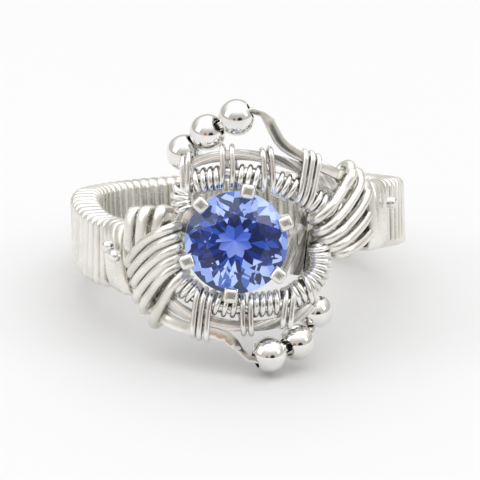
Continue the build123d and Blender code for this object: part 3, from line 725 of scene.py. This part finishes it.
# A closed turn: its plane holds the way out and the way from foot to top, its width crosses them
def bandFrom(name, band, width):
    top, foot = onHead(*band["top"]), onHead(*band["foot"])
    middle = (top + foot) / 2
    out = Vector((middle.x, middle.y, 0)).normalized()
    rise = (top - foot) - out * (top - foot).dot(out)
    tall = rise.normalized()
    centre = middle + out * (band["front"] + band["behind"]) / 2
    wire = shoulderWire
    profile = closedLine(name + "Outline", roundedBox(
        wire["thick"] / 2, width / 2, wire["outlinePower"], wire["outlineSteps"]))
    piece = closedLine(name, roundedBox(
        (band["front"] - band["behind"]) / 2, rise.length / 2, wire["loopPower"], wire["loopSteps"]))
    piece.data.dimensions = "3D"
    piece.data.twist_mode = "Z_UP"
    piece.data.bevel_mode = "OBJECT"
    piece.data.bevel_object = profile
    only(piece)
    bpy.ops.object.convert(target="MESH")
    piece = bpy.context.object
    turned = head["turn"] @ Matrix((out, tall, out.cross(tall))).transposed()
    piece.matrix_world = Matrix.Translation((head["turn"] @ centre + head["centre"]) * mm) @ turned.to_4x4()
    bpy.ops.object.transform_apply()
    bpy.data.objects.remove(profile)
    bpy.ops.object.mode_set(mode="EDIT")
    bpy.ops.mesh.select_all(action="SELECT")
    bpy.ops.mesh.normals_make_consistent(inside=False)
    bpy.ops.object.mode_set(mode="OBJECT")
    bpy.ops.object.shade_smooth_by_angle(angle=math.radians(wire["smooth"]))
    return piece


for pieceName, form in shoulderForms.items():
    bands = [bandFrom(pieceName + str(k), band, form["width"]) for k, band in enumerate(form["bands"])]
    settle(joined(bands), pieceName, "wrapWire", "wrap_wire", form["node"])
print("shoulder wraps stand")


studio = {
    "camera": (-38.052 * mm, -459.496 * mm, 193.718 * mm), "lens": 536.3, "sensor": 36, "clip": (0.01, 10),
    "right": (0.99708, -0.0729, 0.02277), "up": (0.00642, 0.37702, 0.92618),
    "aimDown": 0.00297, "aimRight": 0.00028,
    "floorSize": 3.0, "floorColour": (0.765, 0.765, 0.767), "floorRoughness": 0.7,
    "exposure": 0.18, "gamma": 0.9,
}
lampForms = {
    "topBox": {"place": (0.05, 0.05, 0.42), "aim": (0, 0, 0), "size": (0.60, 0.55), "power": 0.24},
    "leftBox": {"place": (-0.36, -0.10, 0.22), "aim": (0, 0, 0.005), "size": (0.26, 0.30), "power": 0.20},
    "rightBox": {"place": (0.36, -0.16, 0.24), "aim": (0, 0, 0.005), "size": (0.14, 0.22), "power": 0.15},
}
# The room is a white tent: pale above, grey in front, with a warm and a dark patch that show in the metal.
# Each patch is full within inner degrees of its way and gone past outer.
tent = {
    "walls": (0.50, 0.49, 0.46), "strength": 1.14,
    "patches": [
        {"colour": (1.1, 1.1, 1.12), "way": (0.0, 0.1, 1), "inner": 15, "outer": 75},
        {"colour": (0.50, 0.49, 0.46), "way": (0.0, -1, 0.05), "inner": 10, "outer": 40},
        {"colour": (0.34, 0.17, 0.10), "way": (-0.33, -1, 0.10), "inner": 5, "outer": 13},
        {"colour": (0.02, 0.02, 0.022), "way": (0.30, -1, 0.06), "inner": 9, "outer": 20}],
}

bpy.ops.object.select_all(action="DESELECT")
bpy.ops.mesh.primitive_plane_add(size=studio["floorSize"], location=(0, 0, 0))
floor = bpy.context.object
floor.name = "floor"
floorMaterial, floorShader = newMaterial("paleFloor")
floorShader.inputs["Roughness"].default_value = studio["floorRoughness"]
floorShader.inputs["Base Color"].default_value = (*studio["floorColour"], 1)
floor.data.materials.append(floorMaterial)

right, up = Vector(studio["right"]), Vector(studio["up"])
aim = Euler((-studio["aimDown"], -studio["aimRight"], 0)).to_matrix()
bpy.ops.object.camera_add(location=studio["camera"])
camera = bpy.context.object
camera.rotation_euler = (Matrix((right, up, right.cross(up))).transposed() @ aim).to_euler()
camera.data.lens = studio["lens"]
camera.data.sensor_width = studio["sensor"]
camera.data.clip_start, camera.data.clip_end = studio["clip"]
bpy.context.scene.camera = camera

for lampName, form in lampForms.items():
    bpy.ops.object.light_add(type="AREA", location=form["place"])
    lamp = bpy.context.object
    lamp.name = lampName
    lamp.data.shape = "RECTANGLE"
    lamp.data.size, lamp.data.size_y = form["size"]
    lamp.data.energy = form["power"]
    toward = Vector(form["aim"]) - Vector(form["place"])
    lamp.rotation_euler = toward.to_track_quat("-Z", "Y").to_euler()

world = bpy.data.worlds.new("whiteTent")
bpy.context.scene.world = world
world.use_nodes = True
tree = world.node_tree
place = tree.nodes.new("ShaderNodeTexCoord").outputs["Generated"]
room = tent["walls"]
for patch in tent["patches"]:
    soft = tree.nodes.new("ShaderNodeMapRange")
    soft.interpolation_type = "SMOOTHSTEP"
    soft.inputs["From Min"].default_value = math.cos(math.radians(patch["outer"]))
    soft.inputs["From Max"].default_value = math.cos(math.radians(patch["inner"]))
    facing = vectorNode(tree, "DOT_PRODUCT", place, Vector(patch["way"]).normalized())
    tree.links.new(facing, soft.inputs["Value"])
    room = blend(tree, room, patch["colour"], soft.outputs["Result"])
background = tree.nodes["Background"]
tree.links.new(room, background.inputs["Color"])
background.inputs["Strength"].default_value = tent["strength"]
settings = bpy.context.scene.view_settings
settings.view_transform, settings.look = "Standard", "None"
settings.exposure, settings.gamma = studio["exposure"], studio["gamma"]
print("studio ready")
